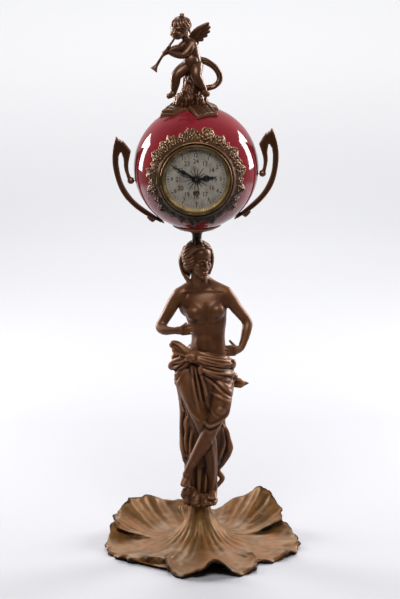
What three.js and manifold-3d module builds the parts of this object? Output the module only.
// Figural table clock: a draped woman on a flower-shaped base carries a glazed globe on her head.
// The globe holds a spring-driven movement behind a wreath, and a winged child with a horn sits on top.
// Millimetres, +Z up. The dial faces -Y and +X is to the right of someone who reads it.
import * as THREE from 'three';
import { mergeVertices } from 'three/addons/utils/BufferGeometryUtils.js';
import Module from 'manifold-3d';

const wasm = await Module();
wasm.setup();
const rad = THREE.MathUtils.degToRad;
const TURN = 2 * Math.PI;

// Gap between pieces that touch
const SEAM = 0.3;

// Flower base
const BASE_WALL = 4;
const NECK_RADIUS = 12;
const NECK_TOP_Z = 60.5;
const NECK_FLARE = 17;
const FOOT_RADIUS = 82;
const RECESS_RADIUS = 34;
const FLUTES = 14;
const FLUTE_DEPTH = 1.4;
const PETAL_ROOT = 0.36;
// Each petal: where it points, how far it spreads to each side, how high it lies over its neighbours, and at nine
// places from one side to the other its reach beyond the foot and the height of its margin
const PETALS = [
  {
    bearing: -82, spread: 40, over: 2.2,
    reach: [6, 30, 48, 48, 44, 49, 48, 36, 10], margin: [8, 4, 0, 5, 19, 4, 0, 2, 6],
  },
  {
    bearing: -6, spread: 44, over: 0.6,
    reach: [6, 32, 39, 45, 46, 45, 42, 34, 18], margin: [5, 0, 4, 1, 2, 5, 10, 17, 22],
  },
  {
    bearing: 62, spread: 44, over: 1.6,
    reach: [30, 40, 43, 43, 42, 38, 34, 30, 18], margin: [21, 28, 43, 47, 34, 18, 14, 18, 22],
  },
  {
    bearing: 130, spread: 44, over: 0.4,
    reach: [18, 30, 36, 40, 42, 41, 40, 36, 23], margin: [22, 25, 30, 33, 39, 36, 31, 28, 22],
  },
  {
    bearing: 200, spread: 44, over: 1.4,
    reach: [30, 35, 40, 40, 37, 33, 23, 14, 4], margin: [30, 23, 7, 0, 0, 1, 6, 5, 8],
  },
];
const BASE_SIDES = 45;

// Standing figure: each stretch of it stands on the one below
const PLINTH_HEIGHT = 10;
const PLINTH_RADIUS = 20;
const LEG_HEIGHT = 195;
const TORSO_HEIGHT = 93;
const HEAD_HEIGHT = 44;
const PLINTH_TOP_Z = NECK_TOP_Z + PLINTH_HEIGHT;
const WAIST_Z = PLINTH_TOP_Z + LEG_HEIGHT;
const NECK_SEAM_Z = WAIST_Z + TORSO_HEIGHT;
const HEAD_TOP_Z = NECK_SEAM_Z + HEAD_HEIGHT;
const HEAD_CENTRE = [3, -2, HEAD_TOP_Z - 21];
const LIMB_SIDES = 6;

// Globe and its cup
const GLOBE_RADIUS = 79;
const GLOBE_WALL = 3;
const STEM_HEIGHT = 23;
const GLOBE_CENTRE_Z = HEAD_TOP_Z + STEM_HEIGHT + GLOBE_RADIUS;
const GLOBE_LEAN = 2.6;
const GLOBE_SIDES = 24;
const GLOBE_OUTER_STEPS = 8;
const GLOBE_INNER_STEPS = 4;
const REAR_HOLE_RADIUS = 31;
const CUP_HALF_ANGLE = 22;
const CUP_WALL = 2.5;
const STEM_RADIUS = 5.7;
const STEM_FOOT_RADIUS = 9.5;

// Fixings
const BOLT_RADIUS = 2.5;
const NUT_RADIUS = 5;
const NUT_HEIGHT = 4;
const WASHER_RADIUS = 8;
const WASHER_HEIGHT = 1.2;
const SCREW_RADIUS = 1.6;
const SCREW_HEAD_RADIUS = 3.2;
const SCREW_HEAD_HEIGHT = 2;
const SCREW_BITE = 4;

// Handles
const HANDLE_DEPTH = 7;
const KNOB_RADIUS = 4.6;
const KNOB_DROP = 11.5;
const FOOT_BEARING = -52;

// Clock front: the glass, the mouth of the globe, the wreath and the hinge follow the bezel
const BEZEL_RADIUS = 45.4;
const BEZEL_DEPTH = 4.6;
const BEZEL_WIDTH = 3;
const FLANGE_WIDTH = 2.4;
const SIGHT_WIDTH = 4.4;
const DIAL_MARGIN = 2.4;
const WREATH_CLEARANCE = 1;
const WREATH_WIDTH = 11.6;
const WREATH_WALL = 2.4;
const HINGE_CLEARANCE = 2.6;
const HAND_CLEARANCE = 2;
const MOUTH_RADIUS = BEZEL_RADIUS - FLANGE_WIDTH;
const GLASS_RADIUS = BEZEL_RADIUS - BEZEL_WIDTH;
const SIGHT_RADIUS = GLASS_RADIUS - SIGHT_WIDTH;
const DIAL_RADIUS = MOUTH_RADIUS - DIAL_MARGIN;
const WREATH_INNER = BEZEL_RADIUS + WREATH_CLEARANCE;
const WREATH_OUTER = WREATH_INNER + WREATH_WIDTH;
const HINGE_OUT = BEZEL_RADIUS + HINGE_CLEARANCE;
const MINUTE_HAND_LENGTH = SIGHT_RADIUS - HAND_CLEARANCE;
const BLOSSOMS = [
  { bearing: 76, size: 9, petals: 5 },
  { bearing: 36, size: 7, petals: 4 },
  { bearing: 127, size: 8, petals: 5 },
  { bearing: 212, size: 6.5, petals: 4 },
  { bearing: 330, size: 6.4, petals: 4 },
];
const LEAVES = [
  { bearing: 101, spin: 60 }, { bearing: 152, spin: 20 }, { bearing: 194, spin: 20 },
  { bearing: 240, spin: -50 }, { bearing: 262, spin: 20 }, { bearing: 288, spin: -20 },
  { bearing: 354, spin: -30 }, { bearing: 12, spin: 35 },
];
const CASE_WALL = 1;
const GLASS_WALL = 1.4;
const GLASS_DOME = 2.4;
const DIAL_WALL = 0.8;
const DIAL_DEPTH = 3.3;
const PIN_RADIUS = 0.7;
const KNUCKLE_RADIUS = 1.7;
const KNUCKLE_LENGTH = 6;
const LUG_LENGTH = 3;
const HOUR_HAND_LENGTH = 24;
const HAND_WALL = 0.6;
const HUB_WALL = 0.9;
const MINUTE_HAND_TURN = 60;
const HOUR_HAND_TURN = -85;

// Movement
const MOTION_ROOM = 10.4;
const PLATE_WALL = 2;
const PLATE_SPACING = 23.6;
const BACK_PLATE_RADIUS = 31;
const PILLAR_RADIUS = 2;
const PILLAR_PITCH = 27.5;
const PIVOT_RADIUS = 0.6;
const ARBOR_RADIUS = 1;
const WHEEL_WALL = 1.2;
const PINION_LENGTH = 2.2;
const WINDING_DROP = 18;
const WINDING_RADIUS = 2.2;
const WINDING_SQUARE = 3;
const GREAT_TEETH = 36;
const CENTRE_LEAVES = 6;
const CENTRE_TEETH = 36;
const THIRD_LEAVES = 6;
const THIRD_TEETH = 36;
const FOURTH_LEAVES = 6;
const FOURTH_TEETH = 40;
const ESCAPE_LEAVES = 6;
const ESCAPE_TEETH = 15;
const ESCAPE_RADIUS = 6;
const THIRD_BEARING = 135;
const THIRD_DISTANCE = 13.5;
const FOURTH_BEARING = 35;
const FOURTH_DISTANCE = 11.5;
const ESCAPE_BEARING = -20;
const ESCAPE_DISTANCE = 9.5;
const CANNON_LEAVES = 8;
const MINUTE_TEETH = 24;
const MINUTE_LEAVES = 6;
const HOUR_TEETH = 24;
const MOTION_DISTANCE = 9.6;
const MOTION_BEARING = 20;
const BALANCE_PLACE = [19, -2];
const BALANCE_RADIUS = 9;
const PALLET_REACH = 8.4;
const BARREL_RADIUS = 13.4;
const BARREL_WALL = 0.9;
const BARREL_DEPTH = 11;
const MAINSPRING_TURNS = 3;
const MAINSPRING_WALL = 0.7;
const HAIRSPRING_TURNS = 2;
const HAIRSPRING_WALL = 0.4;
const RATCHET_RADIUS = 7;
const RATCHET_TEETH = 14;
const CLAMP_SPREAD = 24;

// Heights of the wheels in front of the back plate's inner face
const BALANCE_HEIGHT = 2.4;
const ESCAPE_HEIGHT = 4.6;
const ESCAPE_WALL = 1;
const BARREL_HEIGHT = 4.6;
const ESCAPE_PINION_HEIGHT = 7.4;
const FOURTH_WHEEL_HEIGHT = 8;
const FOURTH_PINION_HEIGHT = 11.5;
const THIRD_WHEEL_HEIGHT = 12;
const CENTRE_PINION_HEIGHT = 16;
const THIRD_PINION_HEIGHT = 20.5;
const CENTRE_WHEEL_HEIGHT = 21;

// Finishes: colour, roughness and metalness
const PATINA = [0x5a3a2a, 0.42, 0.75];
const GOLDEN_PATINA = [0x7a5a35, 0.45, 0.75];
const RED_GLAZE = [0x7d1f27, 0.08, 0];
const GILT_BROWN = [0x6b5030, 0.45, 0.75];
const BRASS = [0xb08d4c, 0.3, 0.9];
const SILVERED = [0x9a948a, 0.5, 0.3];
const BLUED_STEEL = [0x14161f, 0.3, 0.8];
const STEEL = [0x8a8d90, 0.35, 0.9];
const CLEAR_GLASS = [0xdfe8ea, 0.02, 0];

const group = new THREE.Group();
const clock = new THREE.Group();
const leaning = new THREE.Group();
const crown = new THREE.Group();
clock.position.z = GLOBE_CENTRE_Z;
clock.rotation.x = Math.PI / 2;
leaning.rotation.z = rad(GLOBE_LEAN);
crown.position.z = GLOBE_CENTRE_Z;
crown.rotation.y = -rad(GLOBE_LEAN);
clock.add(leaning);
group.add(clock, crown);

// Solids

function volumeOf(points, faces) {
  let sum = 0;
  for (const [a, b, c] of faces) {
    const [p, q, r] = [points[a], points[b], points[c]];
    sum += p[0] * (q[1] * r[2] - q[2] * r[1]);
    sum -= p[1] * (q[0] * r[2] - q[2] * r[0]);
    sum += p[2] * (q[0] * r[1] - q[1] * r[0]);
  }
  return sum / 6;
}

function solidOfFaces(points, faces) {
  const turned = volumeOf(points, faces) < 0 ? faces.map(([a, b, c]) => [a, c, b]) : faces;
  const vertProperties = new Float32Array(points.flat());
  const triVerts = new Uint32Array(turned.flat());
  return new wasm.Manifold(new wasm.Mesh({ numProp: 3, vertProperties, triVerts }));
}

function solidOf(geometry) {
  geometry.deleteAttribute('normal');
  geometry.deleteAttribute('uv');
  const merged = mergeVertices(geometry, 1e-4);
  const place = merged.getAttribute('position');
  const points = [];
  for (let i = 0; i < place.count; i += 1) points.push([place.getX(i), place.getY(i), place.getZ(i)]);
  const faces = [];
  for (let i = 0; i < merged.index.count; i += 3) {
    const [a, b, c] = [0, 1, 2].map((k) => merged.index.getX(i + k));
    if (a !== b && b !== c && a !== c) faces.push([a, b, c]);
  }
  return solidOfFaces(points, faces);
}

function join(solids) {
  return solids.reduce((whole, next) => whole.add(next));
}

function cut(whole, tools) {
  return tools.reduce((rest, tool) => rest.subtract(tool), whole);
}

function addMesh(parent, name, solid, [color, roughness, metalness], opacity = 1) {
  const found = solid.getMesh();
  const geometry = new THREE.BufferGeometry();
  geometry.setAttribute('position', new THREE.BufferAttribute(new Float32Array(found.vertProperties), 3));
  geometry.setIndex(new THREE.BufferAttribute(new Uint32Array(found.triVerts), 1));
  geometry.computeVertexNormals();
  const look = { color, roughness, metalness, opacity, transparent: opacity < 1 };
  const mesh = new THREE.Mesh(geometry, new THREE.MeshStandardMaterial(look));
  mesh.name = name;
  parent.add(mesh);
}

// Rows of points joined in order: a tube whose ends are closed, or a ring when the last row meets the first
function skin(rows, ring = false) {
  const count = rows[0].length;
  const points = rows.flat();
  const faces = [];
  const bands = ring ? rows.length : rows.length - 1;
  for (let r = 0; r < bands; r += 1) {
    const here = r * count;
    const next = ((r + 1) % rows.length) * count;
    for (let i = 0; i < count; i += 1) {
      const j = (i + 1) % count;
      faces.push([here + i, here + j, next + j], [here + i, next + j, next + i]);
    }
  }
  if (!ring) {
    const last = (rows.length - 1) * count;
    for (let i = 1; i < count - 1; i += 1) {
      faces.push([0, i + 1, i], [last, last + i, last + i + 1]);
    }
  }
  return solidOfFaces(points, faces);
}

// A rounded limb through stations of x, y, z, half width and half depth
function limb(stations, { grow = 0, sides = LIMB_SIDES, folds = 0, foldDepth = 0 } = {}) {
  const centres = stations.map(([x, y, z]) => new THREE.Vector3(x, y, z));
  const rows = [];
  const addRow = (centre, along, width, depth) => {
    const guide = Math.abs(along.y) > 0.85 ? new THREE.Vector3(0, 0, 1) : new THREE.Vector3(0, -1, 0);
    const side = new THREE.Vector3().crossVectors(along, guide).normalize();
    const deep = new THREE.Vector3().crossVectors(side, along).normalize();
    const row = [];
    for (let i = 0; i < sides; i += 1) {
      const angle = (i / sides) * TURN;
      const swell = 1 + foldDepth * Math.cos(folds * angle);
      const point = centre.clone();
      point.addScaledVector(side, width * swell * Math.cos(angle));
      point.addScaledVector(deep, depth * swell * Math.sin(angle));
      row.push(point.toArray());
    }
    rows.push(row);
  };
  const last = stations.length - 1;
  const addCap = (index, sign) => {
    const next = centres[index === 0 ? 1 : last - 1];
    const outward = centres[index].clone().sub(next).normalize();
    const [width, depth] = [stations[index][3] + grow, stations[index][4] + grow];
    const reach = 0.55 * Math.min(width, depth);
    const tip = centres[index].clone().addScaledVector(outward, reach);
    addRow(tip, outward.multiplyScalar(sign), 0.6 * width, 0.6 * depth);
  };
  addCap(0, -1);
  stations.forEach(([, , , width, depth], i) => {
    const along = centres[Math.min(i + 1, last)].clone().sub(centres[Math.max(i - 1, 0)]).normalize();
    addRow(centres[i], along, width + grow, depth + grow);
  });
  addCap(last, 1);
  return skin(rows);
}

function ball([x, y, z], [width, depth, height], grow = 0, sides = 7) {
  const geometry = new THREE.SphereGeometry(1, sides, Math.ceil(sides * 0.55));
  geometry.rotateX(Math.PI / 2);
  geometry.scale(width + grow, depth + grow, height + grow);
  geometry.translate(x, y, z);
  return solidOf(geometry);
}

// A turned piece about Z from a profile of radius and height
function turned(profile, sides) {
  const closed = [...profile, profile[0]].map(([r, z]) => new THREE.Vector2(r, z));
  const geometry = new THREE.LatheGeometry(closed, sides);
  geometry.rotateX(Math.PI / 2);
  return solidOf(geometry);
}

function rod(radius, low, high, sides = 12, x = 0, y = 0) {
  const geometry = new THREE.CylinderGeometry(radius, radius, high - low, sides);
  geometry.rotateX(Math.PI / 2);
  geometry.translate(x, y, (low + high) / 2);
  return solidOf(geometry);
}

// A rod that points away from the origin in a direction
function radialRod(direction, radius, near, far, sides = 10) {
  const geometry = new THREE.CylinderGeometry(radius, radius, far - near, sides);
  geometry.translate(0, (near + far) / 2, 0);
  const up = new THREE.Vector3(0, 1, 0);
  const turn = new THREE.Quaternion().setFromUnitVectors(up, direction.clone().normalize());
  geometry.applyQuaternion(turn);
  return solidOf(geometry);
}

function block(low, high) {
  const size = high.map((value, i) => value - low[i]);
  const geometry = new THREE.BoxGeometry(...size);
  geometry.translate(...low.map((value, i) => value + size[i] / 2));
  return solidOf(geometry);
}

function prism(shape, low, high, curveSegments = 6) {
  const depth = high - low;
  const geometry = new THREE.ExtrudeGeometry(shape, { depth, bevelEnabled: false, curveSegments });
  geometry.translate(0, 0, low);
  return solidOf(geometry);
}

function shapeOf(points) {
  return new THREE.Shape(points.map(([x, y]) => new THREE.Vector2(x, y)));
}

function arc(radius, from, to, steps) {
  const points = [];
  for (let i = 0; i <= steps; i += 1) {
    const angle = from + ((to - from) * i) / steps;
    points.push([radius * Math.sin(angle), radius * Math.cos(angle)]);
  }
  return points;
}

const EVERYTHING = 2 * (GLOBE_CENTRE_Z + GLOBE_RADIUS);

function keepAbove(solid, z) {
  return solid.subtract(block([-EVERYTHING, -EVERYTHING, -EVERYTHING], [EVERYTHING, EVERYTHING, z]));
}

function keepBelow(solid, z) {
  return solid.subtract(block([-EVERYTHING, -EVERYTHING, z], [EVERYTHING, EVERYTHING, EVERYTHING]));
}

// Flower base

function petalAt(angle) {
  const degrees = THREE.MathUtils.radToDeg(angle);
  const places = PETALS.map((petal) => {
    const offset = THREE.MathUtils.euclideanModulo(degrees - petal.bearing + 180, 360) - 180;
    return { petal, across: offset / petal.spread };
  });
  const covering = places.filter(({ across }) => Math.abs(across) <= 1);
  return covering.reduce((best, place) => (place.petal.over > best.petal.over ? place : best));
}

function acrossPetal(values, across) {
  const place = ((across + 1) / 2) * (values.length - 1);
  const index = Math.min(Math.floor(place), values.length - 2);
  return THREE.MathUtils.lerp(values[index], values[index + 1], place - index);
}

// Height of the upper side of the base over the table
function petalHeight(radius, { angle, rim, margin, over }) {
  const out = (radius - NECK_RADIUS) / (rim - NECK_RADIUS);
  const flare = Math.exp(-(((radius - NECK_RADIUS) / NECK_FLARE) ** 0.86));
  const flute = FLUTE_DEPTH * Math.cos(FLUTES * angle) * Math.sqrt(flare) * (1 - flare);
  const rise = margin * Math.max(0, (out - PETAL_ROOT) / (1 - PETAL_ROOT)) ** 1.8;
  return BASE_WALL + (NECK_TOP_Z - BASE_WALL) * flare + flute + rise + over * (1 - flare);
}

function baseFlower() {
  const columns = [];
  for (let i = 0; i < BASE_SIDES; i += 1) {
    const angle = (i / BASE_SIDES) * TURN;
    const { petal, across } = petalAt(angle);
    columns.push({
      angle,
      over: petal.over,
      rim: FOOT_RADIUS + acrossPetal(petal.reach, across),
      margin: acrossPetal(petal.margin, across),
    });
  }
  const bore = BOLT_RADIUS + SEAM;
  const upper = [NECK_RADIUS, NECK_RADIUS + 5, NECK_RADIUS + 14, NECK_RADIUS + 33, FOOT_RADIUS];
  const rimSteps = [0.5, 1];
  const row = (radiusOf, drop) => columns.map((column) => {
    const radius = radiusOf(column.rim);
    const height = Math.max(0, petalHeight(radius, column) - drop);
    return [radius * Math.cos(column.angle), radius * Math.sin(column.angle), height];
  });
  const towardsRim = (step) => (rim) => FOOT_RADIUS + (rim - FOOT_RADIUS) * step;
  const level = (radius, z) => columns.map(
    ({ angle }) => [radius * Math.cos(angle), radius * Math.sin(angle), z],
  );
  const rows = [level(bore, NECK_TOP_Z)];
  upper.forEach((radius) => rows.push(row(() => radius, 0)));
  rimSteps.forEach((step) => rows.push(row(towardsRim(step), 0)));
  rows.push(row(towardsRim(1), BASE_WALL));
  [FOOT_RADIUS, RECESS_RADIUS].forEach((radius) => rows.push(level(radius, 0)));
  rows.push(row(() => RECESS_RADIUS - BASE_WALL, BASE_WALL));
  rows.push(level(NECK_RADIUS, NECK_TOP_Z - 2 * BASE_WALL - NECK_RADIUS));
  rows.push(level(bore, NECK_TOP_Z - 2 * BASE_WALL - NECK_RADIUS));
  return skin(rows, true);
}

addMesh(group, 'base_flower', baseFlower(), GOLDEN_PATINA);

const NECK_FLOOR_Z = NECK_TOP_Z - 2 * BASE_WALL - NECK_RADIUS;

function hexagon(radius, low, high) {
  return rod(radius, low, high, 6);
}

function washer(low) {
  const inner = BOLT_RADIUS + SEAM;
  const high = low + WASHER_HEIGHT;
  return turned([[inner, low], [WASHER_RADIUS, low], [WASHER_RADIUS, high], [inner, high]], 10);
}

function baseBolt() {
  const under = NECK_FLOOR_Z - 2 * SEAM - WASHER_HEIGHT;
  const head = hexagon(NUT_RADIUS, under - NUT_HEIGHT, under);
  return head.add(rod(BOLT_RADIUS, under - NUT_HEIGHT / 2, PLINTH_TOP_Z - SEAM, 10));
}

addMesh(group, 'base_bolt', baseBolt(), STEEL);
addMesh(group, 'base_washer', washer(NECK_FLOOR_Z - SEAM - WASHER_HEIGHT), STEEL);

// Standing figure. Legs and skirt are laid out above the plinth, what is over the belt above the waist.

function aboveWaist(solid) {
  return solid.translate([0, 0, WAIST_Z]);
}

function plinth() {
  const low = NECK_TOP_Z + SEAM;
  const top = PLINTH_TOP_Z;
  const rock = limb([
    [0, 0, low, NECK_RADIUS + 2, NECK_RADIUS],
    [-1, 0, (low + top) / 2, PLINTH_RADIUS, PLINTH_RADIUS - 3],
    [-1, 0, top, PLINTH_RADIUS, PLINTH_RADIUS - 2],
  ], { sides: 15, folds: 5, foldDepth: 0.07 });
  const bore = rod(BOLT_RADIUS + SEAM, low - 1, top + BOLT_RADIUS, 10);
  return keepBelow(keepAbove(rock, low), top).subtract(bore);
}

function draperyColumn() {
  return limb([
    [0, 3, 0, 16, 13], [0, 5, 33, 20, 14], [5, 6, 57, 28, 16], [4, 5, 77, 28, 17],
    [3, 1, 96, 24, 19], [8, -3, 110, 26, 23], [9, -2, 140, 35, 26], [8, 0, LEG_HEIGHT - 37, 38, 26],
    [8, 0, LEG_HEIGHT - 19, 35, 25], [12, 0, LEG_HEIGHT, 25, 18],
  ], { sides: 20, folds: 10, foldDepth: 0.05 });
}

function crossingLeg() {
  return limb([
    [27, -5, LEG_HEIGHT - 37, 15, 15], [27, -22, 125, 13, 12], [17, -27, 102, 10, 10], [3, -27, 74, 9, 9],
    [-13, -25, 46, 6, 6], [-19, -28, 34, 6, 5], [-21, -32, 24, 5, 3.5],
  ]);
}

function standingLeg() {
  return limb([
    [-4, -8, 151, 15, 14], [8, -16, 102, 11, 11], [14, -13, 68, 9, 10], [17, -9, 20, 6, 6.5],
    [17, -10, 10, 6, 7], [16, -24, 5, 6, 3.5],
  ]);
}

// The tied end of the cloth, which stands in front of the waist
function bow(grow = 0) {
  return aboveWaist(join([
    ball([-9, -25, -3], [9, 7, 8], grow),
    limb([[-10, -22, -2, 7, 5], [-24, -19, 7, 8, 4], [-34, -15, 10, 5, 3]], { grow }),
    limb([[-10, -22, -5, 7, 5], [-24, -17, -13, 9, 4], [-35, -10, -19, 6, 4]], { grow }),
  ]));
}

function drapery() {
  const skirt = join([
    draperyColumn(),
    crossingLeg(),
    standingLeg(),
    limb([[24, 4, 100, 6, 7], [32, 8, 76, 6, 7], [35, 9, 56, 6, 6], [24, 7, 38, 6, 5], [16, 4, 32, 5, 5]]),
    limb([[18, 6, 32, 5, 5], [30, 6, 22, 4, 4], [21, 4, 10, 4, 4]]),
  ]).translate([0, 0, PLINTH_TOP_Z]);
  const belt = aboveWaist(join([
    limb([[-10, -24, -4, 6, 6], [10, -26, -12, 6, 5], [32, -19, -18, 6, 5], [44, -3, -21, 6, 6]]),
    limb([[40, 4, -43, 10, 5], [52, 5, -46, 7, 4], [63, 5, -47, 2, 2]]),
  ]));
  const below = skirt.add(belt);
  const boltTip = rod(BOLT_RADIUS + SEAM, PLINTH_TOP_Z, PLINTH_TOP_Z + 2 * SEAM, 10);
  return keepBelow(keepAbove(below, PLINTH_TOP_Z + SEAM), WAIST_Z).add(bow()).subtract(boltTip);
}

function torsoForm(grow = 0) {
  const trunk = limb([
    [12, 0, -8, 26, 18], [13, -1, 17, 22, 16], [12, -1, 35, 25, 18], [10, 0, 53, 28, 18.5],
    [8, 2, 68, 30, 15], [6, 3, 78, 24, 11], [4, 1, 85, 11, 9.5], [4, -1, TORSO_HEIGHT + 6, 8.5, 9],
  ], { grow, sides: 10 });
  return aboveWaist(join([
    trunk,
    ball([-23, 2, 71], [10, 9.5, 10], grow),
    ball([35, 2, 73], [10, 9.5, 10], grow),
    ball([-4, -14, 52], [10.5, 10, 10.5], grow),
    ball([25, -14, 54], [10.5, 10, 10.5], grow),
  ]));
}

function torso() {
  return keepBelow(keepAbove(torsoForm(), WAIST_Z + SEAM), NECK_SEAM_Z - SEAM).subtract(bow(SEAM));
}

function head() {
  const [x, y, z] = HEAD_CENTRE;
  const whole = join([
    limb([[4, -1, NECK_SEAM_Z - 4, 8.5, 9], [4, -2, z - 12, 8, 9]]),
    ball([x, y, z], [17, 18, 20], 0, 10),
    ball([x + 5, y - 9, z - 6], [11, 10, 15], 0, 8),
    ball([x + 11, y - 17.5, z - 6], [2, 2.4, 3.4], 0, 6),
    ball([x - 9, y + 2, z + 2], [16, 17, 17]),
    ball([x - 1, y, z + 14], [15, 15, 9]),
    limb([[x - 12, y + 1, z - 10, 5, 6], [x - 13, y, z - 22, 4, 5], [x - 11, y - 1, z - 28, 3, 3]]),
  ]);
  const stemSeat = rod(STEM_FOOT_RADIUS + SEAM, HEAD_TOP_Z - SEAM, HEAD_TOP_Z + STEM_FOOT_RADIUS, 16);
  const studBore = rod(BOLT_RADIUS + SEAM, HEAD_TOP_Z - 2 * NUT_HEIGHT - SEAM, HEAD_TOP_Z, 10);
  return keepAbove(cut(whole, [stemSeat, studBore]), NECK_SEAM_Z);
}

// Hands are a palm with four fingers and a thumb, pointing along a direction
function hand(wrist, palm, tips, thumb) {
  const [px, py, pz] = palm;
  const fingers = tips.map(([x, y, z]) => limb([
    [px + (x - px) * 0.2, py + (y - py) * 0.2, pz + (z - pz) * 0.2, 2, 2],
    [x, y, z, 1.5, 1.5],
  ], { sides: 4 }));
  const palmForm = limb([[...wrist, 4.2, 3.6], [...palm, 5.6, 3.6]], { sides: 6 });
  const thumbForm = limb([[...palm, 2.2, 2.2], [...thumb, 1.7, 1.7]], { sides: 4 });
  return join([palmForm, thumbForm, ...fingers]);
}

function rightArm() {
  const arm = limb([
    [-29, 1.5, 64, 8.6, 8.8], [-34, 0.5, 56, 8.2, 8.6], [-46, -3, 36, 7, 7.4], [-49, -7, 31, 6.8, 6.8],
    [-42, -16, 30, 6.6, 6.2], [-30, -25, 32, 4.4, 4.2],
  ]);
  const palm = [-22, -29, 33];
  const tips = [[-9, -30, 40], [-7, -32, 37], [-7, -32, 33.5], [-9, -31, 30]];
  const whole = arm.add(hand([-31, -25, 32], palm, tips, [-17, -29, 42]));
  return aboveWaist(whole).subtract(torsoForm(SEAM));
}

function leftArm() {
  const arm = limb([
    [40, 2, 67, 8.6, 8.8], [46, 2, 59, 8.4, 8.6], [60, 3, 41, 7, 7.4], [64, 1, 35, 6.8, 6.8],
    [62, -5, 25, 6.6, 6.2], [55, -14, 5, 4.4, 4.2],
  ]);
  const palm = [48, -21, 3];
  const tips = [[34, -27, 11], [32, -28, 7.5], [32.5, -28, 4], [35, -27, 1]];
  const whole = arm.add(hand([55, -15, 5], palm, tips, [40, -20, 17]));
  return cut(aboveWaist(whole), [torsoForm(SEAM), draperyGrown()]);
}

function draperyGrown() {
  const hips = limb([
    [8, 0, -37, 38, 26], [8, 0, -19, 35, 25], [12, 0, 0, 25, 18],
  ], { sides: 20, grow: 1 + SEAM });
  return keepBelow(aboveWaist(hips), WAIST_Z + SEAM);
}

addMesh(group, 'rock_plinth', plinth(), PATINA);
addMesh(group, 'figure_drapery', drapery(), PATINA);
addMesh(group, 'figure_torso', torso(), PATINA);
addMesh(group, 'figure_head', head(), PATINA);
addMesh(group, 'figure_right_arm', rightArm(), PATINA);
addMesh(group, 'figure_left_arm', leftArm(), PATINA);

// Cup and stem that carry the globe

function globeCup() {
  const seat = GLOBE_RADIUS + SEAM;
  const angle = rad(CUP_HALF_ANGLE);
  const inner = arc(seat, Math.asin((BOLT_RADIUS + SEAM) / seat), angle, 3);
  const outer = arc(seat + CUP_WALL, angle, Math.asin(STEM_RADIUS / seat), 2);
  const stemTop = GLOBE_CENTRE_Z - seat - CUP_WALL;
  const stem = [
    [STEM_RADIUS - 0.6, (stemTop + HEAD_TOP_Z) / 2],
    [STEM_RADIUS + 0.6, HEAD_TOP_Z + 4],
    [STEM_FOOT_RADIUS, HEAD_TOP_Z],
    [BOLT_RADIUS + SEAM, HEAD_TOP_Z],
  ];
  const dish = [...inner, ...outer].map(([r, drop]) => [r, GLOBE_CENTRE_Z - drop]);
  return turned([...dish, ...stem], 14);
}

function globeStud() {
  const low = HEAD_TOP_Z - 2 * NUT_HEIGHT;
  const high = GLOBE_CENTRE_Z - GLOBE_RADIUS + GLOBE_WALL + WASHER_HEIGHT + NUT_HEIGHT + 3;
  return rod(BOLT_RADIUS, low, high, 10);
}

function studNut(low) {
  const bore = rod(BOLT_RADIUS + SEAM, low - 1, low + NUT_HEIGHT + 1, 10);
  return hexagon(NUT_RADIUS, low, low + NUT_HEIGHT).subtract(bore);
}

// The inside of the globe is faceted, so what seats there stays under its flats
const FACET_LOSS = Math.cos(Math.PI / GLOBE_SIDES) * Math.cos(Math.PI / 2 / GLOBE_INNER_STEPS);
const INNER_FLAT = (GLOBE_RADIUS - GLOBE_WALL) * FACET_LOSS;
const GLOBE_FLOOR_Z = GLOBE_CENTRE_Z - Math.sqrt(INNER_FLAT ** 2 - WASHER_RADIUS ** 2) + SEAM;
addMesh(group, 'globe_cup', globeCup(), PATINA);
addMesh(group, 'globe_stud', globeStud(), STEEL);
addMesh(group, 'globe_washer', washer(GLOBE_FLOOR_Z), STEEL);
addMesh(group, 'globe_nut', studNut(GLOBE_FLOOR_Z + WASHER_HEIGHT + SEAM), STEEL);

// Globe, in the frame of the clock face: x right, y up, z towards the reader

function bearingOf(degrees) {
  return new THREE.Vector3(Math.cos(rad(degrees)), Math.sin(rad(degrees)), 0);
}

const KNOB_BEARING = -THREE.MathUtils.radToDeg(Math.asin(KNOB_DROP / GLOBE_RADIUS));
const SCREW_BEARINGS = {
  handle_screw_right_upper: KNOB_BEARING,
  handle_screw_right_lower: FOOT_BEARING,
  handle_screw_left_upper: 180 - KNOB_BEARING,
  handle_screw_left_lower: 180 - FOOT_BEARING,
};

function globeShell() {
  const inside = GLOBE_RADIUS - GLOBE_WALL;
  const mouthAngle = (radius) => Math.asin(MOUTH_RADIUS / radius);
  const rearAngle = (radius) => Math.PI - Math.asin(REAR_HOLE_RADIUS / radius);
  const outer = arc(GLOBE_RADIUS, mouthAngle(GLOBE_RADIUS), rearAngle(GLOBE_RADIUS), GLOBE_OUTER_STEPS);
  const inner = arc(inside, rearAngle(inside), mouthAngle(inside), GLOBE_INNER_STEPS);
  const hole = (bearing, radius) => {
    const direction = bearingOf(bearing);
    return radialRod(direction, radius + SEAM, inside - GLOBE_WALL, GLOBE_RADIUS + GLOBE_WALL, 8);
  };
  const holes = Object.values(SCREW_BEARINGS).map((bearing) => hole(bearing + GLOBE_LEAN, SCREW_RADIUS));
  holes.push(hole(-90, BOLT_RADIUS), hole(90 + GLOBE_LEAN, BOLT_RADIUS));
  return cut(turned([...outer, ...inner], GLOBE_SIDES), holes);
}

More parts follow.
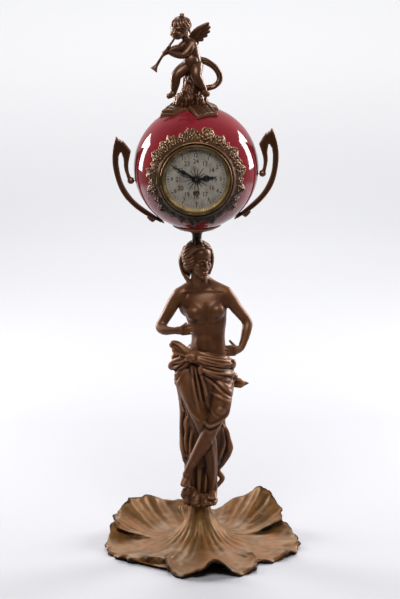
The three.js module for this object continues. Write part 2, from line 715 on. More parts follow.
// Handles lie in one plane: an outer arm, a stepped crest, an elbow and an inner arm that ends in a knob.
// Each place is a bearing from the globe's middle and a gap to the globe.
function handleOutline() {
  const at = ([bearing, gap]) => {
    const { x, y } = bearingOf(bearing).multiplyScalar(GLOBE_RADIUS + gap);
    return new THREE.Vector2(x, y);
  };
  const outline = new THREE.Shape();
  const run = (...places) => outline.splineThru(places.map(at));
  const straight = (...places) => places.forEach((place) => outline.lineTo(at(place).x, at(place).y));
  const tip = at([24.7, 30]);
  outline.moveTo(tip.x, tip.y);
  run([15.1, 28.7], [4.4, 26.3], [-7.9, 23], [-18.3, 20], [-29.3, 15], [-41.8, 9.5], [-58, 4.1]);
  straight([-55.5, 2.3]);
  run([-40.6, 4], [-28.6, 8.7], [-18.4, 12.7], [-7.2, 16.3], [4.7, 18.8], [11.7, 20]);
  straight([15.8, 18.2]);
  run([10, 13.4], [2.5, 11.9], [KNOB_BEARING, KNOB_RADIUS + 4]);
  straight([KNOB_BEARING, KNOB_RADIUS - 1]);
  run([-1.3, 6], [6.7, 6.6], [17.8, 6.1]);
  straight([21.9, 14.8], [23.6, 19.7], [22.9, 22.5], [23.9, 23.3], [23.3, 26], [24.3, 26.9]);
  outline.closePath();
  return outline;
}

function handle() {
  const plate = prism(handleOutline(), -HANDLE_DEPTH / 2, HANDLE_DEPTH / 2, 2);
  const knobReach = GLOBE_RADIUS + KNOB_RADIUS + 0.7;
  const { x, y } = bearingOf(KNOB_BEARING).multiplyScalar(knobReach);
  const knob = ball([x, y, 0], [KNOB_RADIUS, KNOB_RADIUS, KNOB_RADIUS + 0.6]);
  const peg = (bearing, radius, far) => radialRod(bearingOf(bearing), radius, GLOBE_RADIUS + SEAM, far, 6);
  const stub = peg(KNOB_BEARING, SCREW_RADIUS + 1.4, knobReach);
  const foot = peg(FOOT_BEARING, SCREW_RADIUS + 1.8, GLOBE_RADIUS + 6);
  const bore = (bearing) => {
    const direction = bearingOf(bearing);
    return radialRod(direction, SCREW_RADIUS + SEAM, GLOBE_RADIUS - 1, GLOBE_RADIUS + SCREW_BITE, 6);
  };
  return cut(join([plate, knob, stub, foot]), [bore(KNOB_BEARING), bore(FOOT_BEARING)]);
}

// A full ball that clears the outside of the globe, to trim what seats on it
function globeBall() {
  const sides = 20;
  const radius = (GLOBE_RADIUS + SEAM) / Math.cos(Math.PI / sides);
  const geometry = new THREE.SphereGeometry(radius, sides, sides / 2);
  geometry.rotateX(Math.PI / 2);
  return solidOf(geometry);
}

function handleScrew(bearing) {
  const direction = bearingOf(bearing);
  const seat = INNER_FLAT - SEAM;
  const headForm = radialRod(direction, SCREW_HEAD_RADIUS, seat - SCREW_HEAD_HEIGHT, seat, 8);
  return headForm.add(radialRod(direction, SCREW_RADIUS, seat - 1, GLOBE_RADIUS + SCREW_BITE - SEAM, 6));
}

addMesh(clock, 'globe_shell', globeShell(), RED_GLAZE);
addMesh(leaning, 'handle_right', handle(), PATINA);
addMesh(leaning, 'handle_left', handle().mirror([1, 0, 0]), PATINA);
Object.entries(SCREW_BEARINGS).forEach(([name, bearing]) => {
  addMesh(leaning, name, handleScrew(bearing), STEEL);
});

// Child with a horn on the crown of the globe, heights above its top
const TOP = GLOBE_RADIUS;

function seatRock(grow = 0) {
  return join([
    limb([
      [0, 0, TOP - 4, 15, 14], [0, -2, TOP + 10, 13, 12], [2, -2, TOP + 30, 11, 10], [3, 0, TOP + 44, 12, 11],
    ], { grow, sides: 9 }),
    ball([-12, -5, TOP + 8], [11, 10, 12], grow),
  ]);
}

// A sheet that lies on the globe: four corners of x, y and height above the globe
function sheet(corners, thickness) {
  const steps = 2;
  const layer = (extra) => {
    const points = [];
    for (let i = 0; i <= steps; i += 1) {
      for (let j = 0; j <= steps; j += 1) {
        const [u, v] = [i / steps, j / steps];
        const weights = [(1 - u) * (1 - v), u * (1 - v), u * v, (1 - u) * v];
        const [x, y, lift] = [0, 1, 2].map((k) => weights.reduce((sum, w, c) => sum + w * corners[c][k], 0));
        const z = Math.sqrt(GLOBE_RADIUS ** 2 - x * x - y * y);
        const reach = (GLOBE_RADIUS + lift + extra) / GLOBE_RADIUS;
        points.push([x * reach, y * reach, z * reach]);
      }
    }
    return points;
  };
  const count = (steps + 1) ** 2;
  const faces = [];
  for (let i = 0; i < steps; i += 1) {
    for (let j = 0; j < steps; j += 1) {
      const a = i * (steps + 1) + j;
      const [b, c, d] = [a + steps + 1, a + steps + 2, a + 1];
      faces.push([a, b, c], [a, c, d], [count + a, count + c, count + b], [count + a, count + d, count + c]);
    }
  }
  const rim = [];
  for (let k = 0; k < steps; k += 1) rim.push([k, k + 1]);
  for (let k = 0; k < steps; k += 1) rim.push([k * (steps + 1) + steps, (k + 1) * (steps + 1) + steps]);
  for (let k = steps; k > 0; k -= 1) rim.push([steps * (steps + 1) + k, steps * (steps + 1) + k - 1]);
  for (let k = steps; k > 0; k -= 1) rim.push([k * (steps + 1), (k - 1) * (steps + 1)]);
  rim.forEach(([a, b]) => faces.push([a, b, count + b], [a, count + b, count + a]));
  return solidOfFaces([...layer(thickness), ...layer(0)], faces);
}

function finialMount() {
  const whole = join([
    seatRock(),
    sheet([[-40, -14, 3], [-24, -22, 1], [-7, -15, 1], [-14, 2, 8]], 3),
    sheet([[-6, -14, 2], [6, -37, 1], [31, -23, 1], [12, 0, 8]], 3),
    sheet([[10, -8, 1], [31, -10, 2], [29, 8, 1], [8, 10, 4]], 4),
  ]);
  const bore = rod(BOLT_RADIUS + SEAM, TOP - 8, TOP + 18, 10);
  return cut(whole, [globeBall(), bore]);
}

function childArms(grow) {
  return [
    limb([
      [4, -7, TOP + 81, 5.6, 5.6], [-13, -15, TOP + 71, 4.6, 4.6], [-29, -20, TOP + 78, 3.8, 3.8],
    ], { grow }),
    limb([
      [-6, -7, TOP + 82, 5, 5], [-18, -14, TOP + 80, 4.4, 4.4], [-32, -21, TOP + 74, 3.6, 3.6],
    ], { grow }),
  ];
}

function childLegs(grow) {
  const thigh = 8.6;
  const calf = 6.8;
  const ankle = 4.6;
  return [
    limb([
      [-2, -3, TOP + 53, thigh, thigh], [-18, -13, TOP + 44, calf, calf],
      [-22, -14, TOP + 25, ankle, ankle], [-29, -20, TOP + 20, 3.8, 3],
    ], { grow }),
    limb([
      [8, -5, TOP + 53, thigh, thigh], [6, -16, TOP + 42, calf, calf],
      [15, -15, TOP + 25, ankle, ankle], [20, -20, TOP + 20, 3.8, 3],
    ], { grow }),
  ];
}

function childForm(grow = 0) {
  const trunk = limb([
    [3, -2, TOP + 50, 12, 10], [3, -2, TOP + 62, 10.5, 9], [1, -3, TOP + 73, 10.5, 9],
    [0, -4, TOP + 82, 9, 7], [-5, -8, TOP + 92, 5, 5],
  ], { grow, sides: 7 });
  return join([
    trunk,
    ball([-9, -11, TOP + 104], [12, 12.5, 13.5], grow, 8),
    ball([-13, -17, TOP + 99], [8, 6.5, 7], grow),
    ball([-6, -10, TOP + 119], [4, 4, 4.4], grow, 6),
    ...childArms(grow),
    ...childLegs(grow),
  ]);
}

function hornForm(grow = 0) {
  return limb([
    [-18, -22, TOP + 91, 1.7, 1.7], [-31, -23.5, TOP + 76, 2.1, 2.1], [-42, -25, TOP + 60, 2.8, 2.8],
    [-45, -25.5, TOP + 56, 4.6, 4.6],
  ], { grow, sides: 8 });
}

function sash() {
  const band = limb([
    [13, 3, TOP + 58, 4, 3.4], [24, 4, TOP + 53, 4, 3.4], [34, 5, TOP + 43, 4, 3.4],
    [36, 5, TOP + 33, 4, 3.4], [31, 4, TOP + 25, 4, 3.4], [18, 2, TOP + 22, 3.6, 3.4],
  ], { sides: 6 });
  return cut(band, [childForm(SEAM), seatRock(SEAM)]);
}

// A spread wing: its outline, upright, with the root at the shoulder blade
function wing(turn) {
  const outline = shapeOf([
    [0, 9], [9, 19], [19, 24.5], [25.5, 25.5], [27.5, 22], [26, 18.5], [27, 16], [23, 12.5],
    [23.5, 9.5], [18, 7], [15, 2.5], [7, -1], [0, -3],
  ]);
  const geometry = new THREE.ExtrudeGeometry(outline, { depth: 3, bevelEnabled: false });
  geometry.rotateX(Math.PI / 2);
  geometry.rotateZ(rad(turn));
  geometry.translate(1, 7.4, TOP + 79);
  return cut(solidOf(geometry), [childForm(SEAM)]);
}

const FINIAL_WASHER = Math.sqrt(INNER_FLAT ** 2 - WASHER_RADIUS ** 2) - SEAM - WASHER_HEIGHT;

function finialBolt() {
  const seat = FINIAL_WASHER - SEAM;
  return hexagon(NUT_RADIUS, seat - NUT_HEIGHT, seat).add(rod(BOLT_RADIUS, seat - 1, TOP + 17, 10));
}

addMesh(crown, 'finial_mount', finialMount(), PATINA);
addMesh(crown, 'finial_bolt', finialBolt(), STEEL);
addMesh(crown, 'finial_washer', washer(FINIAL_WASHER), STEEL);
addMesh(crown, 'cherub', cut(childForm(), [seatRock(SEAM), hornForm(SEAM)]), PATINA);
addMesh(crown, 'cherub_horn', hornForm(), PATINA);
addMesh(crown, 'cherub_sash', sash(), PATINA);
addMesh(crown, 'cherub_wing_right', wing(0), PATINA);
addMesh(crown, 'cherub_wing_left', wing(100), PATINA);

// Clock front and case ring, in the frame of the clock face

const MOUTH_SEAT = Math.sqrt(GLOBE_RADIUS ** 2 - MOUTH_RADIUS ** 2) + SEAM;
const BEZEL_BACK = MOUTH_SEAT + CASE_WALL + SEAM;
const BEZEL_FRONT = BEZEL_BACK + BEZEL_DEPTH;
const HINGE_FORWARD = BEZEL_FRONT - 1.2;
const DIAL_FACE = MOUTH_SEAT - DIAL_DEPTH;
const FRONT_PLATE = DIAL_FACE - DIAL_WALL - MOTION_ROOM - PLATE_WALL;
const BACK_PLATE = FRONT_PLATE - PLATE_SPACING - PLATE_WALL;
const FACE_SIDES = 20;

// Turns a form that points along +Z so that it stands on the globe at a radius and bearing of the wreath
function onGlobe(form, radius, bearing, spin = 0) {
  const seat = GLOBE_RADIUS + 2 * SEAM;
  const tilt = THREE.MathUtils.radToDeg(Math.asin(radius / seat));
  return form.rotate([0, 0, spin]).translate([0, 0, seat]).rotate([0, tilt, 0]).rotate([0, 0, bearing]);
}

function blossom(size, petals) {
  const sides = 2 * petals;
  const row = (scale, height, scallop) => Array.from({ length: sides }, (_, i) => {
    const angle = (i / sides) * TURN;
    const radius = size * scale * (i % 2 ? 1 : 1 - scallop);
    return [radius * Math.cos(angle), radius * Math.sin(angle), height];
  });
  return skin([row(0.85, 0.6, 0.2), row(1, 3, 0.22), row(0.45, 5.2, 0.1)]);
}

function leaf(length, width) {
  const across = (x, half, z) => [[x, -half, z - 1.6], [x, 0, z - 1.6], [x, half, z - 1.6], [x, 0, z + 1]];
  return skin([across(0, 1.4, 2), across(length / 2, width / 2, 3), across(length, 0.7, 2.2)]);
}

function wreath() {
  const seat = GLOBE_RADIUS + 2 * SEAM;
  const [inner, outer] = [WREATH_INNER, WREATH_OUTER].map((radius) => Math.asin(radius / seat));
  const ring = turned([...arc(seat, inner, outer, 1), ...arc(seat + WREATH_WALL, outer, inner, 1)], 24);
  const notch = KNUCKLE_LENGTH / 2 + LUG_LENGTH + 2 * SEAM;
  const room = block([-HINGE_OUT - 3, -notch, MOUTH_SEAT - 4], [-BEZEL_RADIUS + 4, notch, BEZEL_FRONT + 3]);
  const middle = (WREATH_INNER + WREATH_OUTER) / 2;
  const blossoms = BLOSSOMS.map(({ bearing, size, petals }) => (
    onGlobe(blossom(size, petals), WREATH_INNER + size, bearing)
  ));
  const leaves = LEAVES.map(({ bearing, spin }) => onGlobe(leaf(9, 7), middle, bearing, spin));
  return join([ring.subtract(room), ...blossoms, ...leaves]);
}

function pinBore(low, high) {
  const geometry = new THREE.CylinderGeometry(PIN_RADIUS + SEAM, PIN_RADIUS + SEAM, high - low, 8);
  geometry.translate(-HINGE_OUT, (low + high) / 2, HINGE_FORWARD);
  return solidOf(geometry);
}

function caseRing() {
  const out = MOUTH_RADIUS - 2 * SEAM;
  const [top, under, lip] = [MOUTH_SEAT + CASE_WALL, MOUTH_SEAT, FRONT_PLATE - SEAM];
  const ring = turned([
    [BEZEL_RADIUS, top], [BEZEL_RADIUS, under], [out, under], [out, lip - CASE_WALL],
    [out - 4, lip - CASE_WALL], [out - 4, lip], [out - CASE_WALL, lip], [out - CASE_WALL, top],
  ], FACE_SIDES);
  const near = KNUCKLE_LENGTH / 2 + SEAM;
  const left = -HINGE_OUT - KNUCKLE_RADIUS;
  const lug = (low, high) => join([
    block([left, low, under], [-BEZEL_RADIUS - 2 * SEAM, high, HINGE_FORWARD + KNUCKLE_RADIUS]),
    block([left, low, under], [-MOUTH_RADIUS - 1, high, top]),
  ]);
  const lugs = lug(near, near + LUG_LENGTH).add(lug(-near - LUG_LENGTH, -near));
  return ring.add(lugs).subtract(pinBore(-near - LUG_LENGTH - 1, near + LUG_LENGTH + 1));
}

function hingePin() {
  const reach = KNUCKLE_LENGTH / 2 + SEAM + LUG_LENGTH;
  const geometry = new THREE.CylinderGeometry(PIN_RADIUS, PIN_RADIUS, 2 * reach, 8);
  geometry.translate(-HINGE_OUT, 0, HINGE_FORWARD);
  return solidOf(geometry);
}

const GLASS_SEAT = BEZEL_FRONT - 1.4 - SEAM;

function bezel() {
  const rebate = GLASS_RADIUS + SEAM;
  const ring = turned([
    [BEZEL_RADIUS, BEZEL_BACK], [BEZEL_RADIUS, BEZEL_FRONT - 1.6], [BEZEL_RADIUS - 1.6, BEZEL_FRONT],
    [rebate - 1.6, BEZEL_FRONT - 0.8], [rebate - 1.6, GLASS_SEAT + SEAM],
    [rebate, GLASS_SEAT + SEAM], [rebate, BEZEL_BACK],
  ], FACE_SIDES);
  const half = KNUCKLE_LENGTH / 2;
  const barrelForm = new THREE.CylinderGeometry(KNUCKLE_RADIUS, KNUCKLE_RADIUS, KNUCKLE_LENGTH, 10);
  barrelForm.translate(-HINGE_OUT, 0, HINGE_FORWARD);
  const arm = block([-HINGE_OUT, -half, HINGE_FORWARD - 1], [-rebate - 0.6, half, HINGE_FORWARD + 0.2]);
  return join([ring, solidOf(barrelForm), arm]).subtract(pinBore(-half - 1, half + 1));
}

function glass() {
  const low = GLASS_SEAT - GLASS_WALL;
  const parts = [1, 0.6, 0];
  const dome = (rise) => parts.map((part) => [GLASS_RADIUS * part, rise + GLASS_DOME * (1 - part * part)]);
  return turned([...dome(low), ...dome(GLASS_SEAT).reverse()], FACE_SIDES);
}

function sightRing() {
  const [low, high] = [DIAL_FACE + 1, GLASS_SEAT - GLASS_WALL - SEAM];
  const edge = MOUTH_RADIUS - 2 * SEAM - CASE_WALL - 3 * SEAM;
  return turned([[SIGHT_RADIUS, low], [edge, low], [edge, high], [edge - 1, high]], FACE_SIDES);
}

const HOUR_PIPE = [2.2, 2.9];
const CANNON_PIPE = [1.3, 1.9];

function dial() {
  const back = DIAL_FACE - DIAL_WALL;
  const eye = HOUR_PIPE[1] + SEAM;
  const profile = [[eye, back], [DIAL_RADIUS, back], [DIAL_RADIUS, DIAL_FACE], [eye, DIAL_FACE]];
  const disc = turned(profile, FACE_SIDES);
  const windingEye = rod(WINDING_SQUARE, back - 1, DIAL_FACE + 1, 12, 0, -WINDING_DROP);
  const feet = [90, 210, 330].map((bearing) => {
    const { x, y } = bearingOf(bearing).multiplyScalar(DIAL_RADIUS - 8);
    return rod(1.2, FRONT_PLATE + PLATE_WALL + SEAM, back + DIAL_WALL / 2, 6, x, y);
  });
  return join([disc, ...feet]).subtract(windingEye);
}

// A pierced-style hand: hub, thin stem, leaf and point, laid out towards twelve and then turned
function handForm(length, hub, width, low, turn) {
  const right = [
    [0.5, hub - 0.6], [0.5, length * 0.42], [width, length * 0.56], [0.6, length * 0.74], [0.3, length],
  ];
  const side = (sign) => right.map(([x, y]) => [sign * x, y]);
  const stem = shapeOf([...side(1), ...side(-1).reverse()]);
  const bore = rod(hub - HUB_WALL, low - 1, low + HAND_WALL + 1, 10);
  const boss = rod(hub, low, low + HAND_WALL, 10);
  return boss.add(prism(stem, low, low + HAND_WALL)).subtract(bore).rotate([0, 0, turn]);
}

const HOUR_HAND_LOW = DIAL_FACE + 1;
const MINUTE_HAND_LOW = HOUR_HAND_LOW + 2 * HAND_WALL + SEAM;

function handNut() {
  const low = MINUTE_HAND_LOW + HAND_WALL + 2 * SEAM;
  return turned([[0, low], [2.4, low], [2, low + 0.9], [0, low + 1.4]], 10);
}

addMesh(clock, 'wreath_surround', wreath(), GILT_BROWN);
addMesh(clock, 'case_ring', caseRing(), BRASS);
addMesh(clock, 'bezel_hinge_pin', hingePin(), STEEL);
addMesh(clock, 'bezel_ring', bezel(), BRASS);
addMesh(clock, 'bezel_glass', glass(), CLEAR_GLASS, 0.25);
addMesh(clock, 'sight_ring', sightRing(), BRASS);
addMesh(clock, 'dial_plate', dial(), SILVERED);
const minuteHub = CANNON_PIPE[1] + SEAM + HUB_WALL;
const minuteHand = handForm(MINUTE_HAND_LENGTH, minuteHub, 2.4, MINUTE_HAND_LOW, MINUTE_HAND_TURN);
addMesh(clock, 'minute_hand', minuteHand, BLUED_STEEL);
const hourHub = HOUR_PIPE[1] + SEAM + HUB_WALL;
const hourHand = handForm(HOUR_HAND_LENGTH, hourHub, 2.8, HOUR_HAND_LOW, HOUR_HAND_TURN);
addMesh(clock, 'hour_hand', hourHand, BLUED_STEEL);
addMesh(clock, 'hand_nut', handNut(), BRASS);

// Movement: heights in front of the back plate's inner face
const FLOOR = BACK_PLATE + PLATE_WALL;

function along(from, bearing, distance) {
  return [from[0] + distance * Math.cos(rad(bearing)), from[1] + distance * Math.sin(rad(bearing))];
}

const WINDING_PLACE = [0, -WINDING_DROP];
const CENTRE_PLACE = [0, 0];
const THIRD_PLACE = along(CENTRE_PLACE, THIRD_BEARING, THIRD_DISTANCE);
const FOURTH_PLACE = along(THIRD_PLACE, FOURTH_BEARING, FOURTH_DISTANCE);
const ESCAPE_PLACE = along(FOURTH_PLACE, ESCAPE_BEARING, ESCAPE_DISTANCE);
const MOTION_PLACE = along(CENTRE_PLACE, MOTION_BEARING, MOTION_DISTANCE);
const ESCAPE_TO_BALANCE = THREE.MathUtils.radToDeg(
  Math.atan2(BALANCE_PLACE[1] - ESCAPE_PLACE[1], BALANCE_PLACE[0] - ESCAPE_PLACE[0]),
);
const PALLET_PLACE = along(ESCAPE_PLACE, ESCAPE_TO_BALANCE, PALLET_REACH);
const CLICK_PLACE = along(WINDING_PLACE, 155, 12.6);

// Size of one tooth of a wheel and pinion that mesh at a distance
function moduleOf(distance, teeth, leaves) {
  return (2 * distance) / (teeth + leaves);
}

// A toothed outline with pointed teeth, whose first tooth points along the turn
function gear(teeth, module, turn, low, high) {
  const pitch = TURN / teeth;
  const radius = (module * teeth) / 2;
  const points = [];
  for (let i = 0; i < teeth; i += 1) {
    const middle = rad(turn) + i * pitch;
    [[-0.5, radius - 1.25 * module], [0, radius + 0.9 * module]].forEach(([part, r]) => {
      points.push([r * Math.cos(middle + part * pitch), r * Math.sin(middle + part * pitch)]);
    });
  }
  return prism(shapeOf(points), low, high);
}

// The turn of a driven gear, in degrees, that sets its gap at the driver's tooth
function meshTurn(driverTeeth, driverTurn, bearing, drivenTeeth) {
  const offset = (driverTurn - bearing) / (360 / driverTeeth);
  return bearing + 180 + (0.5 - offset) * (360 / drivenTeeth);
}

const GREAT_TURN = 90;
const CENTRE_PINION_TURN = meshTurn(GREAT_TEETH, GREAT_TURN, 90, CENTRE_LEAVES);
const THIRD_PINION_TURN = meshTurn(CENTRE_TEETH, 0, THIRD_BEARING, THIRD_LEAVES);
const FOURTH_PINION_TURN = meshTurn(THIRD_TEETH, 0, FOURTH_BEARING, FOURTH_LEAVES);
const ESCAPE_PINION_TURN = meshTurn(FOURTH_TEETH, 0, ESCAPE_BEARING, ESCAPE_LEAVES);
const MINUTE_WHEEL_TURN = meshTurn(CANNON_LEAVES, 0, MOTION_BEARING, MINUTE_TEETH);
const HOUR_WHEEL_TURN = meshTurn(MINUTE_LEAVES, 0, MOTION_BEARING + 180, HOUR_TEETH);

function arbor() {
  const pivots = rod(PIVOT_RADIUS, BACK_PLATE + SEAM, FRONT_PLATE + PLATE_WALL - SEAM, 5);
  return pivots.add(rod(ARBOR_RADIUS - 0.2, FLOOR + SEAM, FRONT_PLATE - SEAM, 5));
}

function wheelAt(teeth, module, height) {
  return gear(teeth, module, 0, FLOOR + height, FLOOR + height + WHEEL_WALL);
}

function pinionAt(leaves, module, turn, height) {
  return gear(leaves, module, turn, FLOOR + height, FLOOR + height + PINION_LENGTH);
}

const GREAT_MODULE = moduleOf(WINDING_DROP, GREAT_TEETH, CENTRE_LEAVES);
const CENTRE_MODULE = moduleOf(THIRD_DISTANCE, CENTRE_TEETH, THIRD_LEAVES);
const THIRD_MODULE = moduleOf(FOURTH_DISTANCE, THIRD_TEETH, FOURTH_LEAVES);
const FOURTH_MODULE = moduleOf(ESCAPE_DISTANCE, FOURTH_TEETH, ESCAPE_LEAVES);
const CANNON_MODULE = moduleOf(MOTION_DISTANCE, MINUTE_TEETH, CANNON_LEAVES);
const HOUR_MODULE = moduleOf(MOTION_DISTANCE, HOUR_TEETH, MINUTE_LEAVES);

function thirdWheel() {
  const wheel = wheelAt(THIRD_TEETH, THIRD_MODULE, THIRD_WHEEL_HEIGHT);
  const pinion = pinionAt(THIRD_LEAVES, CENTRE_MODULE, THIRD_PINION_TURN, THIRD_PINION_HEIGHT);
  return join([arbor(), wheel, pinion]).translate([...THIRD_PLACE, 0]);
}

function fourthWheel() {
  const wheel = wheelAt(FOURTH_TEETH, FOURTH_MODULE, FOURTH_WHEEL_HEIGHT);
  const pinion = pinionAt(FOURTH_LEAVES, THIRD_MODULE, FOURTH_PINION_TURN, FOURTH_PINION_HEIGHT);
  return join([arbor(), wheel, pinion]).translate([...FOURTH_PLACE, 0]);
}

function centreWheel() {
  const wheel = wheelAt(CENTRE_TEETH, CENTRE_MODULE, CENTRE_WHEEL_HEIGHT);
  const pinion = pinionAt(CENTRE_LEAVES, GREAT_MODULE, CENTRE_PINION_TURN, CENTRE_PINION_HEIGHT);
  return join([rod(ARBOR_RADIUS, BACK_PLATE + SEAM, MINUTE_HAND_LOW + HAND_WALL + SEAM, 8), wheel, pinion]);
}

function escapeWheel() {
  const points = [];
  for (let i = 0; i < ESCAPE_TEETH; i += 1) {
    const angle = (i / ESCAPE_TEETH) * TURN;
    points.push([ESCAPE_RADIUS * Math.cos(angle), ESCAPE_RADIUS * Math.sin(angle)]);
    const inner = ESCAPE_RADIUS - 1.8;
    points.push([inner * Math.cos(angle + 0.12), inner * Math.sin(angle + 0.12)]);
  }
  const wheel = prism(shapeOf(points), FLOOR + ESCAPE_HEIGHT, FLOOR + ESCAPE_HEIGHT + ESCAPE_WALL);
  const pinion = pinionAt(ESCAPE_LEAVES, FOURTH_MODULE, ESCAPE_PINION_TURN, ESCAPE_PINION_HEIGHT);
  return join([arbor(), wheel, pinion]).translate([...ESCAPE_PLACE, 0]);
}

function palletLever() {
  const [x, y] = PALLET_PLACE;
  const tip = (spread) => along(ESCAPE_PLACE, ESCAPE_TO_BALANCE + spread, ESCAPE_RADIUS + 1);
  const [left, right] = [tip(34), tip(-34)];
  const fork = along(PALLET_PLACE, ESCAPE_TO_BALANCE, 7);
  const bar = (a, b, width) => {
    const [dx, dy] = [b[0] - a[0], b[1] - a[1]];
    const length = Math.hypot(dx, dy);
    const [nx, ny] = [(-dy / length) * width, (dx / length) * width];
    return shapeOf([
      [a[0] + nx, a[1] + ny], [a[0] - nx, a[1] - ny], [b[0] - nx, b[1] - ny], [b[0] + nx, b[1] + ny],
    ]);
  };
  const forms = [bar([x, y], left, 0.7), bar([x, y], right, 0.7), bar([x, y], fork, 0.7)];
  const low = FLOOR + ESCAPE_HEIGHT;
  const arms = forms.map((shape) => prism(shape, low, low + ESCAPE_WALL));
  return join([arbor().translate([x, y, 0]), ...arms]);
}

function balanceWheel() {
  const [low, high] = [FLOOR + BALANCE_HEIGHT, FLOOR + BALANCE_HEIGHT + WHEEL_WALL];
  const inner = BALANCE_RADIUS - 1.4;
  const rim = turned([[inner, low], [BALANCE_RADIUS, low], [BALANCE_RADIUS, high], [inner, high]], 16);
  const spoke = block([-inner - 0.5, -0.8, low + 0.2], [inner + 0.5, 0.8, high - 0.2]);
  return join([arbor(), rim, spoke]).translate([...BALANCE_PLACE, 0]);
}

// A flat spiral strip from an inner to an outer radius
function spiral(inner, outer, turns, wall, low, high) {
  const steps = Math.round(turns * 9);
  const edge = (offset) => Array.from({ length: steps + 1 }, (_, i) => {
    const angle = (i / steps) * turns * TURN;
    const radius = inner + ((outer - inner) * i) / steps + offset;
    return [radius * Math.cos(angle), radius * Math.sin(angle)];
  });
  return prism(shapeOf([...edge(wall / 2), ...edge(-wall / 2).reverse()]), low, high);
}

function hairspring() {
  const low = FLOOR + SEAM;
  const coil = spiral(1.8, BALANCE_RADIUS - 3, HAIRSPRING_TURNS, HAIRSPRING_WALL, low, low + 0.8);
  return coil.translate([...BALANCE_PLACE, 0]);
}

const BARREL_LOW = FLOOR + BARREL_HEIGHT;
const BARREL_HIGH = BARREL_LOW + BARREL_DEPTH;

function barrel() {
  const [eye, inner] = [WINDING_RADIUS + SEAM, BARREL_RADIUS - BARREL_WALL];
  const cup = turned([
    [eye, BARREL_LOW], [BARREL_RADIUS, BARREL_LOW], [BARREL_RADIUS, BARREL_HIGH], [inner, BARREL_HIGH],
    [inner, BARREL_LOW + BARREL_WALL], [eye, BARREL_LOW + BARREL_WALL],
  ], 16);
  return cup.translate([...WINDING_PLACE, 0]);
}

function greatWheel() {
  const low = BARREL_HIGH + SEAM;
  const wheel = gear(GREAT_TEETH, GREAT_MODULE, GREAT_TURN, low, low + WHEEL_WALL);
  const eye = rod(WINDING_RADIUS + SEAM, low - 1, low + WHEEL_WALL + 1, 10);
  return wheel.subtract(eye).translate([...WINDING_PLACE, 0]);
}

function mainspring() {
  const inner = WINDING_RADIUS + 1;
  const outer = BARREL_RADIUS - BARREL_WALL - 0.8;
  const low = BARREL_LOW + BARREL_WALL + SEAM;
  const coil = spiral(inner, outer, MAINSPRING_TURNS, MAINSPRING_WALL, low, BARREL_HIGH - SEAM);
  return coil.translate([...WINDING_PLACE, 0]);
}

function windingArbor() {
  const post = rod(WINDING_RADIUS, FLOOR + SEAM, FRONT_PLATE + PLATE_WALL + 2, 10);
  const pivot = rod(ARBOR_RADIUS, BACK_PLATE + SEAM, FLOOR + 1, 8);
  const half = WINDING_SQUARE / 2;
  const square = block([-half, -half, FRONT_PLATE + PLATE_WALL + 1], [half, half, DIAL_FACE + 0.6]);
  return join([post, pivot, square]).translate([...WINDING_PLACE, 0]);
}

const RATCHET_LOW = BARREL_HIGH + WHEEL_WALL + 3 * SEAM;

function ratchetWheel() {
  const points = [];
  for (let i = 0; i < RATCHET_TEETH; i += 1) {
    const angle = (i / RATCHET_TEETH) * TURN;
    points.push([RATCHET_RADIUS * Math.cos(angle), RATCHET_RADIUS * Math.sin(angle)]);
    const inner = RATCHET_RADIUS - 1.2;
    points.push([inner * Math.cos(angle + 0.05), inner * Math.sin(angle + 0.05)]);
  }
  const disc = prism(shapeOf(points), RATCHET_LOW, RATCHET_LOW + WHEEL_WALL);
  const eye = rod(WINDING_RADIUS + SEAM, RATCHET_LOW - 1, RATCHET_LOW + WHEEL_WALL + 1, 10);
  return disc.subtract(eye).translate([...WINDING_PLACE, 0]);
}

function click() {
  const tip = along(WINDING_PLACE, 130, RATCHET_RADIUS + 0.5);
  const heel = along(WINDING_PLACE, 137, RATCHET_RADIUS + 2.4);
  const [x, y] = CLICK_PLACE;
  const outline = shapeOf([
    [x - 1.2, y - 1.4], [x + 0.4, y - 1.6], tip, heel, [x + 0.8, y + 1.6], [x - 1.2, y + 1.4],
  ]);
  const pawl = prism(outline, RATCHET_LOW, RATCHET_LOW + WHEEL_WALL);
  return pawl.add(rod(ARBOR_RADIUS, RATCHET_LOW, FRONT_PLATE + PLATE_WALL - SEAM, 8, x, y));
}

const MOTION_FLOOR = FRONT_PLATE + PLATE_WALL;

function cannonPinion() {
  const low = MOTION_FLOOR + SEAM;
  const leaves = gear(CANNON_LEAVES, CANNON_MODULE, 0, low, low + 3);
  const pipe = rod(CANNON_PIPE[1], low, MINUTE_HAND_LOW + HAND_WALL + SEAM, 10);
  return leaves.add(pipe).subtract(rod(CANNON_PIPE[0], low - 1, MINUTE_HAND_LOW + 3, 10));
}

function minuteWheel() {
  const low = MOTION_FLOOR + 2 * SEAM;
  const wheel = gear(MINUTE_TEETH, CANNON_MODULE, MINUTE_WHEEL_TURN, low, low + WHEEL_WALL);
  const pinion = gear(MINUTE_LEAVES, HOUR_MODULE, 0, low, low + 6);
  const eye = rod(ARBOR_RADIUS + SEAM, low - 1, low + 7, 8);
  return wheel.add(pinion).subtract(eye).translate([...MOTION_PLACE, 0]);
}

function hourWheel() {
  const low = MOTION_FLOOR + 4;
  const wheel = gear(HOUR_TEETH, HOUR_MODULE, HOUR_WHEEL_TURN, low, low + WHEEL_WALL);
  const pipe = rod(HOUR_PIPE[1], low, HOUR_HAND_LOW + HAND_WALL + SEAM, 12);
  return wheel.add(pipe).subtract(rod(HOUR_PIPE[0], low - 1, HOUR_HAND_LOW + 3, 12));
}

const PIVOT_PLACES = [THIRD_PLACE, FOURTH_PLACE, ESCAPE_PLACE, PALLET_PLACE, BALANCE_PLACE];

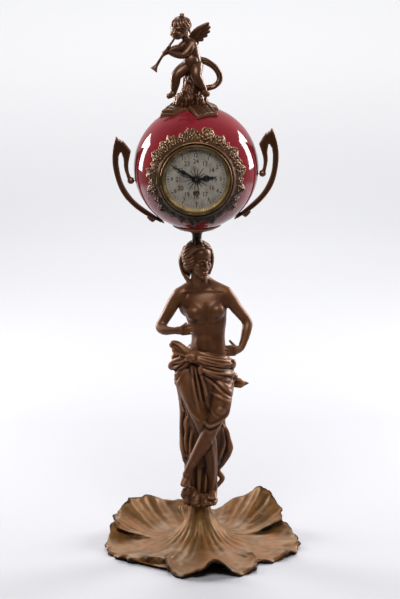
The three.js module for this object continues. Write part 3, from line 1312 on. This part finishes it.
function plate(radius, low, sides) {
  const hole = (radius, sides, x, y) => rod(radius + SEAM, low - 1, low + PLATE_WALL + 1, sides, x, y);
  const holes = PIVOT_PLACES.map(([x, y]) => hole(PIVOT_RADIUS, 5, x, y));
  holes.push(hole(ARBOR_RADIUS, 8, ...CENTRE_PLACE));
  return cut(rod(radius, low, low + PLATE_WALL, sides), holes);
}

function frontPlate() {
  const radius = MOUTH_RADIUS - 2 * SEAM - CASE_WALL - SEAM;
  const holes = [
    rod(WINDING_RADIUS + SEAM, FRONT_PLATE - 1, MOTION_FLOOR + 1, 10, ...WINDING_PLACE),
    rod(ARBOR_RADIUS + SEAM, FRONT_PLATE - 1, MOTION_FLOOR + 1, 8, ...CLICK_PLACE),
  ];
  const post = rod(ARBOR_RADIUS, MOTION_FLOOR - 1, MOTION_FLOOR + 7, 8, ...MOTION_PLACE);
  return cut(plate(radius, FRONT_PLATE, FACE_SIDES), holes).add(post);
}

function clampHoles(low, high) {
  return [-CLAMP_SPREAD, CLAMP_SPREAD].map((x) => rod(SCREW_RADIUS + SEAM, low, high, 8, x, 0));
}

function backPlate() {
  const pillars = [45, 135, 225, 315].map((bearing) => {
    const [x, y] = along(CENTRE_PLACE, bearing, PILLAR_PITCH);
    return rod(PILLAR_RADIUS, FLOOR - 1, FRONT_PLATE - SEAM, 6, x, y);
  });
  const holes = clampHoles(BACK_PLATE - 1, FLOOR + 1);
  holes.push(rod(ARBOR_RADIUS + SEAM, BACK_PLATE - 1, FLOOR + 1, 8, ...WINDING_PLACE));
  return cut(join([plate(BACK_PLATE_RADIUS, BACK_PLATE, 20), ...pillars]), holes);
}

// Rear cover: a cap that follows the globe over its rear hole, held by two long screws to the movement
const COVER_ANGLE = Math.asin((REAR_HOLE_RADIUS + 5) / GLOBE_RADIUS);
const COVER_WALL = 1.5;

function rearCover() {
  const seat = GLOBE_RADIUS + 3 * SEAM;
  const inner = arc(seat, Math.PI, Math.PI - COVER_ANGLE, 2);
  const outer = arc(seat + COVER_WALL, Math.PI - COVER_ANGLE, Math.PI, 2);
  return cut(turned([...inner, ...outer], 16), clampHoles(-2 * GLOBE_RADIUS, -GLOBE_RADIUS / 2));
}

function clampScrew(x) {
  const outside = GLOBE_RADIUS + 3 * SEAM + COVER_WALL;
  const seat = Math.sqrt(outside ** 2 - (CLAMP_SPREAD - SCREW_HEAD_RADIUS) ** 2) + SEAM;
  const headForm = rod(SCREW_HEAD_RADIUS, -seat - SCREW_HEAD_HEIGHT, -seat, 10, x, 0);
  return headForm.add(rod(SCREW_RADIUS, -seat - 1, FLOOR - SEAM, 8, x, 0));
}

addMesh(clock, 'front_plate', frontPlate(), BRASS);
addMesh(clock, 'back_plate', backPlate(), BRASS);
addMesh(clock, 'spring_barrel', barrel(), BRASS);
addMesh(clock, 'great_wheel', greatWheel(), BRASS);
addMesh(clock, 'mainspring', mainspring(), STEEL);
addMesh(clock, 'winding_arbor', windingArbor(), STEEL);
addMesh(clock, 'ratchet_wheel', ratchetWheel(), STEEL);
addMesh(clock, 'click', click(), STEEL);
addMesh(clock, 'centre_wheel', centreWheel(), BRASS);
addMesh(clock, 'third_wheel', thirdWheel(), BRASS);
addMesh(clock, 'fourth_wheel', fourthWheel(), BRASS);
addMesh(clock, 'escape_wheel', escapeWheel(), BRASS);
addMesh(clock, 'pallet_lever', palletLever(), STEEL);
addMesh(clock, 'balance_wheel', balanceWheel(), BRASS);
addMesh(clock, 'hairspring', hairspring(), STEEL);
addMesh(clock, 'cannon_pinion', cannonPinion(), BRASS);
addMesh(clock, 'minute_wheel', minuteWheel(), BRASS);
addMesh(clock, 'hour_wheel', hourWheel(), BRASS);
addMesh(clock, 'rear_cover', rearCover(), BRASS);
addMesh(clock, 'clamp_screw_left', clampScrew(-CLAMP_SPREAD), STEEL);
addMesh(clock, 'clamp_screw_right', clampScrew(CLAMP_SPREAD), STEEL);

// The part's own frame stands on the table under the middle of its box
group.updateMatrixWorld(true);
const middle = new THREE.Box3().setFromObject(group, true).getCenter(new THREE.Vector3());
group.position.set(-middle.x, -middle.y, 0);
const part = new THREE.Group();
part.add(group);

export default part;
